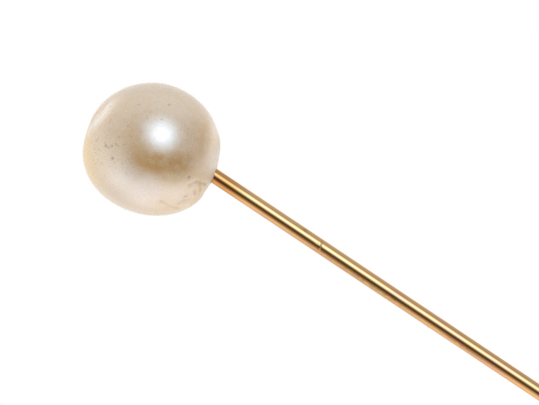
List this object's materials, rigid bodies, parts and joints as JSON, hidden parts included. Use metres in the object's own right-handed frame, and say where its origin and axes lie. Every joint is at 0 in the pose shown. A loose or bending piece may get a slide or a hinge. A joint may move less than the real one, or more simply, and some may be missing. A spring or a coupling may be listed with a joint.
{
  "type": "pearl-headed hat pin",
  "caption": "Hat pin: a slightly uneven drilled pearl cemented on a long straight gilt wire, jointed below the head and drawn out to a sharp point.",
  "frame": {"origin": "on the stem's axis where the stem leaves the pearl, the point a hat comes up to when the pin is pushed right in", "axes": "Z along the stem: +Z towards the pearl, -Z towards the point. The drilled hole is off-centre in the pearl, whose middle lies towards -X. +Y is away from the side that is usually shown"},
  "size_m": [0.01, 0.0101, 0.127],
  "materials": {
    "nacre": "natural pearl nacre, cream to pale bronze, soft satin lustre, a few pits and fine wrinkles",
    "shell_bead": "turned mother-of-pearl bead, matt",
    "aged_cement": "aged jeweller's cement, brown and dull",
    "gilt": "polished yellow gilding over brass wire, light handling scratches and a few nicks",
    "brazing_metal": "duller, slightly redder brazing metal, dressed flush"
  },
  "bodies": {
    "root": {"pearl_nacre": "nacre", "pearl_core": "shell_bead", "pearl_cement": "aged_cement", "upper_stem": "gilt", "brazed_seam": "brazing_metal", "pin_wire": "gilt"}
  },
  "joints": []
}
